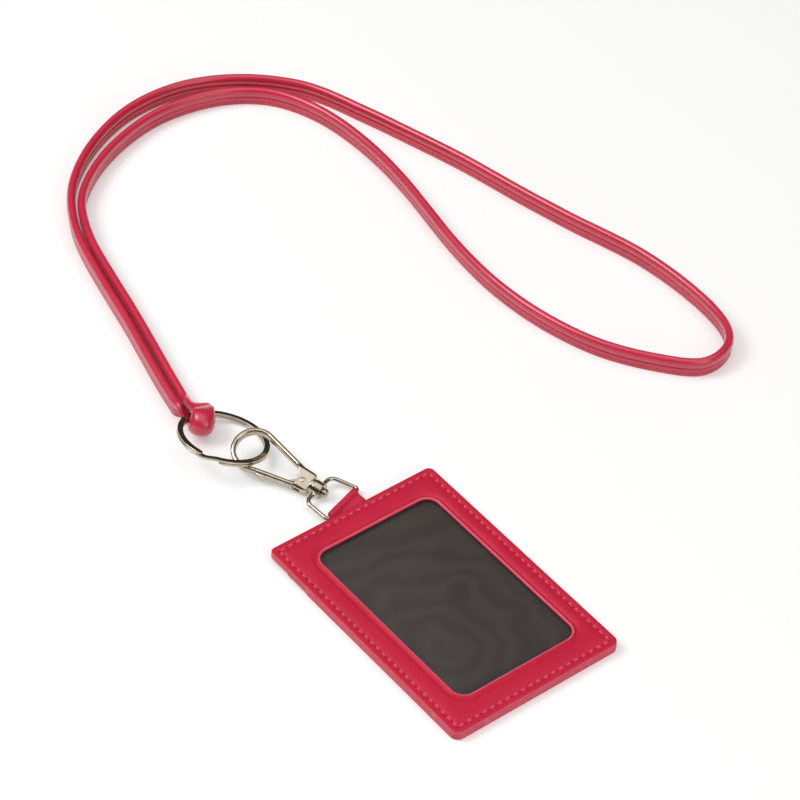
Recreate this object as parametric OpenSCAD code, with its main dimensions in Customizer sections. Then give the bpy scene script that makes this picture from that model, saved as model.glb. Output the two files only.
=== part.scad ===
// Identity card wallet on a neck strap, laid down with its window up.
// Origin: middle of the wallet's resting back face. +Y runs to the mouth, +Z up.

/* [Wallet] */
// Width of the wallet
wallet_w = 73; // [70:1:90]
// Length of the wallet, from its bottom edge to its mouth
wallet_l = 108; // [100:1:130]
// Radius of the two bottom corners
foot_corner_r = 3.2; // [1:0.1:6]
// Radius of the two corners at the mouth
mouth_corner_r = 2.3; // [1:0.1:6]
// Thickness of one sheet of leather
leather_t = 0.6; // [0.5:0.05:0.7]
// Thickness of the stiffening board
board_t = 0.35; // [0.3:0.05:0.6]
// Thickness of the dark lining behind the window
lining_t = 0.2; // [0.1:0.05:0.3]
// Thickness of the clear film
film_t = 0.2; // [0.1:0.05:0.3]
// Height of the slot that the identity card slides into
card_gap = 0.85; // [0.8:0.05:1.2]
// Width of the folded hem inside the sides and the bottom
hem_w = 8; // [5:0.5:8]

/* [Window] */
// Width of the window
window_w = 52; // [36:1:52]
// Length of the window
window_l = 84; // [60:1:84]
// Radius of the window's corners
window_r = 5; // [2:0.5:8]
// How far the window's middle lies to the right of the wallet's
window_shift = 1; // [0:0.1:1]
// Width of the raised rim around the window
rim_w = 1.6; // [1:0.1:2.5]
// Height of the raised rim above the leather
rim_h = 0.3; // [0.1:0.05:0.5]
// How far the film reaches under the leather around the window
film_lap = 4; // [2:0.5:4]

/* [Card pockets] */
// Bare back above the upper pocket's edge
upper_pocket_drop = 11.4; // [10:0.1:16]
// Step from the upper pocket's edge to the lower one's
pocket_step = 11.1; // [8:0.1:16]

/* [Tab] */
// Width of the tab at its free end
tab_top_w = 14.8; // [12:0.1:15]
// Width of the tab where its flare starts
tab_w = 16.2; // [15:0.1:16.2]
// How far the tab stands out of the wallet
tab_out = 8.4; // [8.3:0.1:10]
// Radius of the flare at the tab's root
flare_r = 2; // [1.5:0.1:2]
// Depth that the tab's end is tucked in behind the lining
tuck_l = 8; // [4:0.5:10]

/* [D ring] */
// Thickness of the ring's wire
d_wire = 1.5; // [1.3:0.1:1.5]
// Width of the ring between the centres of its lower corners
d_width = 19.6; // [19.6:0.1:22]
// Distance from the straight bar to the middle of the swivel boss
d_height = 11.05; // [10.6:0.05:14]
// Inward slope of the two sides, in degrees
d_slope = 10; // [5:1:12]
// Diameter of the swivel boss
boss_d = 6.1; // [5.5:0.1:6.1]
// Length of the swivel boss
boss_l = 3.5; // [3:0.1:3.6]

/* [Swivel pin] */
// Diameter of the pin's shank
pin_d = 2.5; // [1.8:0.1:2.8]
// Diameter of the pin's head
pin_head_d = 3.4; // [3.2:0.1:4.5]
// Length of the pin's head
pin_head_l = 2; // [1:0.1:2.4]
// Depth that the shank is set into the hook's block
pin_set = 1.25; // [0.8:0.05:1.3]

/* [Trigger hook] */
// Outer radius of the eye
eye_r = 8.8; // [8.6:0.1:10]
// Distance from the foot of the block to the middle of the eye
eye_up = 25.9; // [25.5:0.1:28]
// Width of the eye's bar, seen from the front
bar_w = 1.9; // [1.6:0.1:2]
// Depth of the eye's bar, front to back
bar_depth = 3.6; // [3:0.1:3.8]
// Slope of the two arms towards the block, in degrees
arm_slope = 13.5; // [13:0.5:14]
// Width of the block at its foot
block_w = 8.2; // [8:0.1:8.6]
// Depth of the block, front to back
block_depth = 4.8; // [4.6:0.1:5.2]
// Height of the block on the arm's side
block_h = 8.8; // [8.4:0.1:9]
// Diameter of the collar between the block and the boss
collar_d = 5.4; // [4:0.1:6]

/* [Gate] */
// Distance from the foot of the block to the seam at the gate's tip
seam_up = 20.1; // [19.6:0.1:20.5]
// Width of the gate, seen from the front
gate_w = 2; // [1.8:0.1:2]
// Depth of the gate, front to back
gate_depth = 4.2; // [3.6:0.1:4.4]
// Diameter of the gate's pin
gate_pin_d = 1.6; // [1.3:0.1:1.6]
// Thickness of the gate's tongue inside the block
tongue_t = 1.2; // [1:0.1:1.2]
// Thickness of the spring's wire
spring_wire = 0.25; // [0.2:0.05:0.25]

/* [Split ring] */
// Outer diameter of the ring
ring_d = 35; // [34.5:0.5:37]
// Width of the flat wire, across the ring
ring_wire_w = 2.2; // [1.8:0.1:2.3]
// Thickness of one turn of the wire
ring_wire_t = 0.9; // [0.7:0.05:0.95]

/* [Neck strap] */
// Width of the folded strap, which stands on its edge
strap_w = 8; // [6:0.5:9]
// Thickness of the folded strap
strap_t = 3.5; // [2.5:0.1:3.6]
// Width of the strap's end where it wraps round the ring
wrap_w = 9.5; // [8:0.5:11]
// Thickness of the strap's end where it wraps round the ring
wrap_t = 1.6; // [1.2:0.1:1.8]
// Thickness of its padded bulb, inside the ring
bulb_t = 7.5; // [4:0.5:8]

/* [Hidden] */
$fn = 48;

leather_red = [0.80, 0.13, 0.25];
lining_grey = [0.26, 0.24, 0.23];
board_brown = [0.62, 0.55, 0.45];
film_clear = [0.85, 0.88, 0.90, 0.35];
nickel = [0.72, 0.70, 0.66];
spring_steel = [0.55, 0.55, 0.56];

// Clearances: a shaft in its bore, a face beside a moving face, a wire in leather
run_gap = 0.05;
face_gap = 0.15;
wire_gap = 0.15;
// How far a cutting solid reaches past what it cuts
overrun = 2;
// Length of a weld between two lengths of bar, and its width as a share of theirs
weld_t = 0.1;
weld_share = 1.01;

// Heights of the layers, from the card pockets up to the window
z_lower_pocket = 0;
z_upper_pocket = z_lower_pocket + leather_t;
z_back = z_upper_pocket + leather_t;
z_board = z_back + leather_t;
z_lining = z_board + board_t;
z_card = z_lining + lining_t;
z_film = z_card + card_gap;
z_front = z_film + film_t;
z_top = z_front + leather_t;
mouth_y = wallet_l / 2;
upper_edge_y = mouth_y - upper_pocket_drop;
lower_edge_y = upper_edge_y - pocket_step;

// Tab: a flat loop of the back's leather round the D ring's bar
bar_r = d_wire / 2;
channel_r = bar_r + wire_gap;
loop_r = channel_r + leather_t;
loop_z = z_top / 2;
channel_foot_out = 1.8;
bar_out = 4.4;
tab_top_y = mouth_y + tab_out;
channel_top_y = tab_top_y - loop_r;
channel_foot_y = mouth_y + channel_foot_out;
wedge_y = mouth_y + leather_t / 2;
flare_y = mouth_y + flare_r;

// Rest pose of the D ring and the hook, which turn on one axis, in degrees
lay_yaw = 18;
lay_rise = 6.5;
lay_roll = -18;
bar_place = [0, mouth_y + bar_out, loop_z];

// D ring: bends as shares of the wire, and the fairings where it joins the boss
low_bend_share = 0.75;
top_bend_share = 2;
fairing_at_share = 0.42;
fairing_r_share = 0.8;

// Distances along that axis, from the D ring's bar
collar_l = 1.05;
boss_top = d_height + boss_l / 2;
boss_foot = d_height - boss_l / 2;
block_foot = boss_top + face_gap + collar_l;
pin_head_top = boss_foot - face_gap;

// The hook's own frame: X across, Y up its axis, Z front
arm_r = eye_r - bar_w / 2;
arm_touch = arm_r * [cos(arm_slope), -sin(arm_slope)];
arm_foot_share = 0.55;
block_r = 2;
block_side = 9.3;
block_shift = -0.25;
block_outline_shares = [
    [-0.5, 0.06], [-0.44, 0], [0.4, 0], [0.46, 0.06], [0.53, 1], [-0.6, 1], [-0.6, 0.55]
];
saddle_r = 8;
saddle_at = [-3.2, 13];
saddle_gap = 0.25;

// Gate: pivot, and the middle line from its foot to the seam
gate_pivot = [-0.8, 3.2];
gate_foot = [-4, 6];
gate_tip = [-6.85, seam_up];
gate_bearing = atan2(gate_tip[1] - gate_foot[1], gate_tip[0] - gate_foot[0]);
gate_run = norm(gate_tip - gate_foot);
seam_slope = 27;
knuckle_wall = 0.7;
knuckle_r = gate_pin_d / 2 + knuckle_wall;
slot_t = 2.4;
slot_slope_share = 0.3;
slot_heel_shares = [0.6, 1];
tongue_z = face_gap - slot_t / 2;
tongue_points = [[0.4, 4.1], [-3.6, 8.6], [-4.7, 8.6], [-4.8, 5.7], [-2, 2.3]];
lip_r = 2.2;
lip_out = 0.9;
lip_down = 2.4;
lip_depth_share = 0.8;
rivet_head_r = 1.05;
rivet_head_l = 0.2;

// Spring: a coil round the gate's pin, one leg on the block and one on the gate
coil_r = gate_pin_d / 2 + spring_wire + run_gap;
coil_pitch_share = 1.4;
coil_steps = 30;
spring_sides = 6;
spring_z = tongue_z + tongue_t + run_gap + spring_wire / 2;
block_leg = [0.7, 7];
gate_leg = [-3.2, 8];

// The split ring's rest pose, from the middle of the hook's eye
ring_from_eye = [-5.5, 11.95, -0.05];
ring_tilt = [-2.1, 18.3, 0];
ring_mid_r = (ring_d - ring_wire_w) / 2;
turn_gap = 0.1;
turn_pitch = ring_wire_t + turn_gap;
step_bearing = 215;
step_half = 10;
end_half = 12;
ring_steps = 96;
wire_edge = 0.2;

// The strap's end on the ring
wrap_bearing = 88;
wire_reach = norm([ring_wire_w, 2 * ring_wire_t + turn_gap]) / 2;
wire_sag = ring_mid_r - sqrt(pow(ring_mid_r, 2) - pow(wrap_w / 2, 2));
wrap_r = wire_reach + wire_sag + wire_gap;
wrap_step = 15;
bulb_lean = 2;
twist_steps = 6;
twist_pull = 13;

// Route of the strap's middle line, seen from above and counted from the ring's
// middle: out along the outer side, round its tip and back along the inner side
strap_route = [
    [-2.9, 27.5], [0.5, 43.5], [8, 74], [14.5, 103.5], [21.5, 129], [34, 151.5],
    [54, 169], [80, 180.5], [107, 181], [131, 170], [149, 151], [158, 128],
    [165.5, 103], [173, 75.5], [179, 46.5], [185.5, 19.5], [193, -8], [195.5, -34.5],
    [193.5, -57.5], [186, -70], [172, -72.5], [160, -62], [146.5, -41.5],
    [138.5, -15.5], [136, 12.5], [138.5, 41.5], [144, 72.5], [147, 101.5],
    [145, 131.5], [135, 155], [115, 168.5], [87, 171.5], [58, 162.5], [36.5, 147],
    [26.5, 130], [20.5, 111], [13, 76.5], [5, 43.5], [1.2, 27.5]
];
// The strap's section as shares of its thickness and its width: stitched edge
// down, rounded fold up
strap_section_shares = [
    [-0.36, 0], [0.36, 0], [0.47, 0.18], [0.5, 0.62], [0.4, 0.87],
    [0.14, 0.99], [-0.14, 0.99], [-0.4, 0.87], [-0.5, 0.62], [-0.47, 0.18]
];

function last(list) = len(list) - 1;
function direction(a, b) = (b - a) / norm(b - a);

// The middle of a smooth curve's step from b to c
function halfway(a, b, c, d) = (9 * (b + c) - a - d) / 16;

// A route with one more point in the middle of every step
function smoothed(route) = [
    for (i = [0 : last(route) - 1])
        let (a = route[max(i - 1, 0)], d = route[min(i + 2, last(route))])
            each [route[i], halfway(a, route[i], route[i + 1], d)],
    route[last(route)]
];

// Rings of points of one outline, listed left to right round it, along a path
function swept(path, outline) = [
    for (i = [0 : last(path)])
        let (
            way = path[min(i + 1, last(path))] - path[max(i - 1, 0)],
            side = [way[1], -way[0], 0] / norm([way[0], way[1]])
        )
        [for (p = outline) path[i] + p[0] * side + [0, 0, p[1]]]
];

function hook_axis() = [
    -sin(lay_yaw) * cos(lay_rise), cos(lay_yaw) * cos(lay_rise), sin(lay_rise)
];
eye_place = bar_place + (block_foot + eye_up) * hook_axis();
ring_place = eye_place + ring_from_eye;
strap_path = smoothed([
    for (p = strap_route) [ring_place[0] + p[0], ring_place[1] + p[1], 0]
]);
strap_rings = swept(strap_path, [
    for (p = strap_section_shares) [p[0] * strap_t, p[1] * strap_w]
]);

// A direction in the split ring's plane, turned to where the ring lies
function tilted(v) =
    let (
        a = ring_tilt[0], b = ring_tilt[1],
        y = v[1] * cos(a) - v[2] * sin(a),
        z = v[1] * sin(a) + v[2] * cos(a)
    )
    [v[0] * cos(b) + z * sin(b), y, z * cos(b) - v[0] * sin(b)];
wire_out = tilted([cos(wrap_bearing), sin(wrap_bearing), 0]);
wire_along = tilted([-sin(wrap_bearing), cos(wrap_bearing), 0]);
wire_up = tilted([0, 0, 1]);
wire_place = ring_place + ring_mid_r * wire_out;

// One place on the strap's end: middle, way on, thickness and width directions, sizes.
// Round the wire it swells to the bulb, which leans towards the outer strand
function wrap_end(a) =
    let (
        out = cos(a) * wire_out + sin(a) * wire_up,
        swell = cos(a) * cos(a),
        t = (1 - swell) * wrap_t + swell * bulb_t
    )
    [
        wire_place + (wrap_r + t / 2) * out + swell * bulb_lean * wire_along,
        cos(a) * wire_up - sin(a) * wire_out, -out, wire_along, t, wrap_w
    ];
function strap_end(i, next) =
    let (
        out = direction(strap_path[i], strap_path[next]),
        way = i == 0 ? out : -out
    )
    [
        strap_path[i] + [0, 0, strap_w / 2], way, [way[1], -way[0], 0], [0, 0, 1],
        strap_t, strap_w
    ];
function band_ring(place) = [
    for (p = strap_section_shares)
        place[0] + p[0] * place[4] * place[2] + (p[1] - 1 / 2) * place[5] * place[3]
];

// A ring that would reach under the floor lies on it
function on_floor(ring) =
    let (low = min([for (p = ring) p[2]]))
    [for (p = ring) p - [0, 0, min(low, 0)]];

// Rings from one such place to the next, along an easy curve
function twist(from, to) = [
    for (i = [0 : twist_steps])
        let (
            t = i / twist_steps, u = t * t * (3 - 2 * t),
            middle = (1 - u) * from[0] + u * to[0]
                + twist_pull * (t * (1 - t) * (1 - t) * from[1] - t * t * (1 - t) * to[1]),
            side = (1 - u) * from[2] + u * to[2],
            up = (1 - u) * from[3] + u * to[3],
            t_now = (1 - u) * from[4] + u * to[4],
            w_now = (1 - u) * from[5] + u * to[5]
        )
        on_floor(band_ring([middle, 0, side / norm(side), up / norm(up), t_now, w_now]))
];

// Closed solid through such rings
module skin(rings) {
    sides = len(rings[0]);
    walls = [
        for (i = [0 : last(rings) - 1]) for (j = [0 : sides - 1])
            let (k = (j + 1) % sides, a = i * sides, b = (i + 1) * sides)
                each [[a + j, a + k, b + k], [a + j, b + k, b + j]]
    ];
    first = [for (j = [sides - 1 : -1 : 0]) j];
    final = [for (j = [0 : sides - 1]) last(rings) * sides + j];
    polyhedron(points = [for (ring = rings) each ring], faces = concat(walls, [first], [final]));
}

module round_outline(w, low, high, r_low, r_high) {
    for (side = [-1, 1]) {
        translate([side * (w / 2 - r_low), low + r_low]) circle(r = r_low);
        translate([side * (w / 2 - r_high), high - r_high]) circle(r = r_high);
    }
    translate([-w / 2 + r_low, low]) square([w - 2 * r_low, r_low]);
    translate([-w / 2, low + r_low]) square([w, high - low - r_low - r_high]);
    translate([-w / 2 + r_high, high - r_high]) square([w - 2 * r_high, r_high]);
}

module wallet_outline(high = mouth_y) {
    intersection() {
        round_outline(wallet_w, -mouth_y, mouth_y, foot_corner_r, mouth_corner_r);
        translate([-wallet_w / 2, -mouth_y]) square([wallet_w, high + mouth_y]);
    }
}

module window_outline(grow = 0) {
    half = window_l / 2 + grow;
    translate([window_shift, 0])
        round_outline(window_w + 2 * grow, -half, half, window_r + grow, window_r + grow);
}

// The part of the wallet's outline that the folded hem leaves free
module inside_hem() {
    translate([-wallet_w / 2 + hem_w, -mouth_y + hem_w])
        square([wallet_w - 2 * hem_w, wallet_l]);
}

module stadium(w, h) {
    translate([0, -(h - w) / 2]) circle(d = w);
    translate([0, (h - w) / 2]) circle(d = w);
    square([w, h - w], center = true);
}

// A thin slice of bar that welds a straight length to a bend
module weld(at, bearing) {
    way = [cos(bearing), sin(bearing)];
    straight_bar(at - weld_t / 2 * way, bearing, weld_t) scale(weld_share) children();
}

// A straight length of bar in the XY plane whose section is the child
module straight_bar(start, bearing, length) {
    translate([start[0], start[1], 0]) rotate([0, 0, bearing]) rotate([90, 0, 90])
        linear_extrude(length) children();
}

// A bar along a path in the XY plane that bends to the left at each inner point
module bent_bar(path, bends) {
    function bearing(i) = atan2(path[i + 1][1] - path[i][1], path[i + 1][0] - path[i][0]);
    function turn(i) = (bearing(i) - bearing(i - 1) + 360) % 360;
    function set_back(i) = i == 0 || i == last(path) ? 0 : bends[i - 1] * tan(turn(i) / 2);
    for (i = [0 : last(path) - 1]) {
        run = norm(path[i + 1] - path[i]) - set_back(i) - set_back(i + 1);
        start = path[i] + set_back(i) * direction(path[i], path[i + 1]);
        straight_bar(start, bearing(i), run) children();
    }
    for (i = [1 : last(path) - 1]) {
        start = path[i] - set_back(i) * direction(path[i - 1], path[i]);
        middle = start + bends[i - 1] * [-sin(bearing(i - 1)), cos(bearing(i - 1))];
        translate([middle[0], middle[1], 0]) rotate([0, 0, bearing(i - 1) - 90])
            rotate_extrude(angle = turn(i)) translate([bends[i - 1], 0]) children();
        weld(start, bearing(i - 1)) children();
        weld(path[i] + set_back(i) * direction(path[i], path[i + 1]), bearing(i)) children();
    }
}

module sheet(z, t, high = mouth_y) {
    translate([0, 0, z]) linear_extrude(t) wallet_outline(high);
}

// Turns a side view drawn as (Y, Z) into a solid that is w wide
module across(w) {
    translate([-w / 2, 0, 0]) rotate([90, 0, 90]) linear_extrude(w) children();
}

// Places of the D ring, the hook, the split ring and its wire in the strap's end
module at_bar() {
    translate(bar_place) rotate([0, 0, lay_yaw]) rotate([lay_rise, 0, 0]) children();
}

module at_hook() {
    at_bar() translate([0, block_foot, 0]) rotate([0, lay_roll, 0]) children();
}

module at_ring() {
    translate(ring_place) rotate(ring_tilt) children();
}

module at_wire() {
    at_ring() rotate([0, 0, wrap_bearing]) translate([ring_mid_r, 0, 0]) children();
}

module tab_side_view(r) {
    translate([channel_top_y, loop_z]) circle(r = r);
    translate([channel_foot_y, loop_z]) circle(r = r);
    translate([channel_foot_y, loop_z - r]) square([channel_top_y - channel_foot_y, 2 * r]);
}

module tab_loop_view() {
    difference() {
        union() {
            tab_side_view(loop_r);
            polygon([
                [mouth_y - tuck_l, z_back], [mouth_y, z_back],
                [channel_foot_y, loop_z - loop_r], [channel_foot_y, loop_z + loop_r],
                [mouth_y, z_lining], [mouth_y - tuck_l, z_lining]
            ]);
        }
        tab_side_view(channel_r);
        polygon([
            [wedge_y, z_board], [channel_foot_y, loop_z - channel_r],
            [channel_foot_y, loop_z + channel_r]
        ]);
    }
}

module tab_plan() {
    polygon([
        [-tab_w / 2, mouth_y - tuck_l], [tab_w / 2, mouth_y - tuck_l],
        [tab_w / 2, flare_y], [tab_top_w / 2, tab_top_y],
        [-tab_top_w / 2, tab_top_y], [-tab_w / 2, flare_y]
    ]);
}

// The flare belongs to the tab's lower leaf only
module flare_view() {
    polygon([
        [mouth_y - leather_t, z_back], [mouth_y, z_back],
        [channel_foot_y, loop_z - loop_r], [flare_y, loop_z - loop_r],
        [flare_y, loop_z - channel_r], [channel_foot_y, loop_z - channel_r],
        [wedge_y, z_board], [mouth_y - leather_t, z_board]
    ]);
}

module flare_plan() {
    w = tab_w + 2 * flare_r;
    difference() {
        translate([-w / 2, mouth_y - leather_t]) square([w, flare_r + leather_t - run_gap]);
        for (side = [-1, 1])
            translate([side * w / 2, flare_y - run_gap]) circle(r = flare_r);
    }
}

// The back's leather with its tab, folded round the D ring's bar and tucked in
module back_panel() {
    color(leather_red) union() {
        sheet(z_back, leather_t);
        intersection() {
            across(tab_w) tab_loop_view();
            linear_extrude(z_top) tab_plan();
        }
        intersection() {
            across(tab_w + 2 * flare_r) flare_view();
            linear_extrude(z_top) flare_plan();
        }
    }
}

module upper_card_pocket() {
    color(leather_red) sheet(z_upper_pocket, leather_t, upper_edge_y);
}

module lower_card_pocket() {
    color(leather_red) sheet(z_lower_pocket, leather_t, lower_edge_y);
}

module stiffener_board() {
    notch_w = tab_w + 2 * face_gap;
    color(board_brown) difference() {
        sheet(z_board, board_t);
        translate([-notch_w / 2, mouth_y - tuck_l - face_gap, z_board - overrun])
            cube([notch_w, tuck_l + overrun, board_t + 2 * overrun]);
    }
}

module window_lining() {
    color(lining_grey) sheet(z_lining, lining_t);
}

// Clear film, glued under the leather round the window
module window_film() {
    color(film_clear) translate([0, 0, z_film]) linear_extrude(film_t) intersection() {
        window_outline(film_lap);
        inside_hem();
    }
}

// One sheet with the window cut out, its sides and bottom turned in as a hem
module front_panel() {
    color(leather_red) union() {
        translate([0, 0, z_front]) linear_extrude(leather_t) difference() {
            wallet_outline();
            window_outline();
        }
        translate([0, 0, z_top]) linear_extrude(rim_h) difference() {
            window_outline(rim_w);
            window_outline();
        }
        translate([0, 0, z_card]) linear_extrude(card_gap + film_t) difference() {
            wallet_outline();
            inside_hem();
        }
    }
}

// D ring with its swivel boss, cast in one
module d_ring() {
    shoulder = d_width / 2 - d_height * tan(d_slope);
    low_r = low_bend_share * d_wire;
    top_r = top_bend_share * d_wire;
    color(nickel) at_bar() difference() {
        union() {
            bent_bar(
                [
                    [0, d_height], [-shoulder, d_height], [-d_width / 2, 0],
                    [d_width / 2, 0], [shoulder, d_height], [0, d_height]
                ],
                [top_r, low_r, low_r, top_r]
            ) circle(d = d_wire);
            translate([0, boss_top, 0]) rotate([90, 0, 0]) cylinder(d = boss_d, h = boss_l);
            for (side = [-1, 1])
                translate([side * fairing_at_share * boss_d, d_height, 0])
                    rotate([0, side * 90, 0])
                        cylinder(r1 = fairing_r_share * d_wire, r2 = bar_r, h = d_wire);
        }
        translate([0, boss_top + overrun, 0]) rotate([90, 0, 0])
            cylinder(d = pin_d + 2 * run_gap, h = boss_l + 2 * overrun);
    }
}

// Headed pin that holds the hook's block to the boss and lets it turn
module swivel_pin() {
    shank_top = block_foot + pin_set;
    color(nickel) at_bar() union() {
        translate([0, shank_top, 0]) rotate([90, 0, 0])
            cylinder(d = pin_d, h = shank_top - pin_head_top);
        translate([0, pin_head_top, 0]) rotate([90, 0, 0])
            cylinder(d = pin_head_d, h = pin_head_l);
    }
}

// Everything on the nose's side of the slanted seam at the gate's tip
module past_seam(shift) {
    translate([gate_tip[0], gate_tip[1] + shift, 0]) rotate([0, 0, seam_slope])
        translate([-eye_r, 0, -block_depth]) cube([2 * eye_r, eye_r, 2 * block_depth]);
}

// Room for the gate's tongue and its spring, from shut to fully open
module slot_plan() {
    wall = gate_pivot[0] + knuckle_r + saddle_gap;
    translate(gate_pivot) circle(r = knuckle_r + saddle_gap);
    polygon([
        [wall, gate_pivot[1]], [wall, block_h + overrun], [-block_w, block_h + overrun],
        [-block_w, gate_pivot[1] + slot_slope_share * knuckle_r],
        [
            gate_pivot[0] - slot_heel_shares[0] * knuckle_r,
            gate_pivot[1] - slot_heel_shares[1] * knuckle_r
        ]
    ]);
}

// Eye, two arms and block of the trigger hook, cast in one
module hook_body() {
    arm_run = (eye_up + arm_touch[1] - arm_foot_share * block_h) / cos(arm_slope);
    nose_run = (eye_up + arm_touch[1] - seam_up + bar_w) / cos(arm_slope);
    color(nickel) at_hook() difference() {
        union() {
            translate([0, eye_up, 0]) rotate([0, 0, -arm_slope])
                rotate_extrude(angle = 180 + 2 * arm_slope)
                    translate([arm_r, 0]) stadium(bar_w, bar_depth);
            straight_bar([arm_touch[0], eye_up + arm_touch[1]], 270 - arm_slope, arm_run)
                stadium(bar_w, bar_depth);
            weld([arm_touch[0], eye_up + arm_touch[1]], 270 - arm_slope)
                stadium(bar_w, bar_depth);
            weld([-arm_touch[0], eye_up + arm_touch[1]], 270 + arm_slope)
                stadium(bar_w, bar_depth);
            intersection() {
                straight_bar([-arm_touch[0], eye_up + arm_touch[1]], 270 + arm_slope, nose_run)
                    stadium(bar_w, bar_depth);
                past_seam(face_gap / 2);
            }
            intersection() {
                translate([0, 0, -block_depth]) linear_extrude(2 * block_depth) difference() {
                    polygon([for (p = block_outline_shares) [p[0] * block_w, p[1] * block_h]]);
                    translate(saddle_at) circle(r = saddle_r);
                }
                translate([block_shift, 0, 0]) rotate([-90, 0, 0]) linear_extrude(block_h)
                    round_outline(block_side, -block_depth / 2, block_depth / 2, block_r, block_r);
            }
            translate([0, face_gap, 0]) rotate([90, 0, 0])
                cylinder(d = collar_d, h = collar_l + face_gap);
        }
        translate([0, 0, -slot_t / 2]) linear_extrude(slot_t) slot_plan();
        translate([0, pin_set, 0]) rotate([90, 0, 0])
            cylinder(d = pin_d, h = pin_set + collar_l + overrun);
        translate([gate_pivot[0], gate_pivot[1], -block_depth])
            cylinder(d = gate_pin_d, h = 2 * block_depth);
    }
}

// Rivet through the block that the gate turns on
module gate_pin() {
    half = block_depth / 2;
    color(nickel) at_hook() translate([gate_pivot[0], gate_pivot[1], 0]) union() {
        translate([0, 0, -half]) cylinder(d = gate_pin_d, h = block_depth);
        translate([0, 0, half]) cylinder(r = rivet_head_r, h = rivet_head_l);
        translate([0, 0, -half - rivet_head_l]) cylinder(r = rivet_head_r, h = rivet_head_l);
    }
}

// Gate of the trigger hook, with its thumb lip and the tongue on the pin
module gate() {
    lip_in = gate_w / 2 + lip_out - lip_r;
    color(nickel) at_hook() difference() {
        union() {
            intersection() {
                straight_bar(
                    gate_foot - overrun * direction(gate_foot, gate_tip),
                    gate_bearing, gate_run + 2 * overrun
                ) stadium(gate_w, gate_depth);
                union() {
                    translate([saddle_at[0], saddle_at[1], -block_depth])
                        cylinder(r = saddle_r - saddle_gap, h = 2 * block_depth);
                    translate([-2 * eye_r, saddle_at[1], -block_depth])
                        cube([2 * eye_r, eye_up, 2 * block_depth]);
                }
            }
            translate([gate_tip[0], gate_tip[1], 0]) rotate([0, 0, gate_bearing - 90])
                intersection() {
                    translate([-lip_in, -lip_down, -lip_depth_share * gate_depth / 2])
                        cylinder(r = lip_r, h = lip_depth_share * gate_depth);
                    translate([-lip_r - lip_out, -eye_r, -gate_depth])
                        cube([lip_r + lip_out, eye_r, 2 * gate_depth]);
                }
            translate([0, 0, tongue_z]) linear_extrude(tongue_t) {
                translate(gate_pivot) circle(r = knuckle_r);
                polygon(tongue_points);
            }
        }
        past_seam(-face_gap / 2);
        translate([gate_pivot[0], gate_pivot[1], -block_depth])
            cylinder(d = gate_pin_d + 2 * run_gap, h = 2 * block_depth);
    }
}

// Coil spring that shuts the gate
module gate_spring() {
    function touch(leg, side) =
        atan2(leg[1] - gate_pivot[1], leg[0] - gate_pivot[0])
            + side * acos(coil_r / norm(leg - gate_pivot));
    first = touch(block_leg, 1);
    sweep = touch(gate_leg, -1) + 720 - first;
    rise = coil_pitch_share * spring_wire * sweep / 360;
    coil = [
        for (i = [0 : coil_steps])
            let (a = first + sweep * i / coil_steps)
                [
                    gate_pivot[0] + coil_r * cos(a), gate_pivot[1] + coil_r * sin(a),
                    spring_z + rise * i / coil_steps
                ]
    ];
    path = concat(
        [[block_leg[0], block_leg[1], spring_z]], coil,
        [[gate_leg[0], gate_leg[1], spring_z + rise]]
    );
    outline = [
        for (i = [0 : spring_sides - 1])
            let (a = 360 * i / spring_sides) spring_wire / 2 * [cos(a), sin(a)]
    ];
    color(spring_steel) at_hook() skin(swept(path, outline));
}

// Split ring: two turns of flat wire, with the step from one turn to the other
module split_ring() {
    x = ring_wire_w / 2;
    y = ring_wire_t / 2;
    outline = [
        [-x + wire_edge, -y], [x - wire_edge, -y], [x, -y + wire_edge], [x, y - wire_edge],
        [x - wire_edge, y], [-x + wire_edge, y], [-x, y - wire_edge], [-x, -y + wire_edge]
    ];
    path = [
        for (i = [0 : ring_steps])
            let (
                a = end_half + (720 - 2 * end_half) * i / ring_steps,
                up = min(max((a - 360 + step_half) / (2 * step_half), 0), 1)
            )
            [
                ring_mid_r * cos(step_bearing + a), ring_mid_r * sin(step_bearing + a),
                turn_pitch * (up - 1 / 2)
            ]
    ];
    color(nickel) at_ring() skin(swept(path, outline));
}

// The strap's two ends, sewn together round the split ring's wire: out of the inner
// strand, over the wire, back under it and into the outer strand, with a twist each way
module strap_end_loop() {
    color(leather_red) skin(concat(
        twist(strap_end(last(strap_path), last(strap_path) - 1), wrap_end(90)),
        [for (a = [90 + wrap_step : wrap_step : 270 - wrap_step]) band_ring(wrap_end(a))],
        twist(wrap_end(270), strap_end(0, 1))
    ));
}

module neck_strap() {
    color(leather_red) skin(strap_rings);
}

back_panel();
upper_card_pocket();
lower_card_pocket();
stiffener_board();
window_lining();
window_film();
front_panel();
d_ring();
hook_body();
swivel_pin();
gate_pin();
gate_spring();
gate();
split_ring();
strap_end_loop();
neck_strap();
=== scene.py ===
# Identity card wallet on a folded leather neck strap, laid on a table with its
# window up. Sizes are in millimetres unless a name says otherwise.
import math

import bmesh
import bpy
from mathutils import Matrix, Vector, noise


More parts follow.
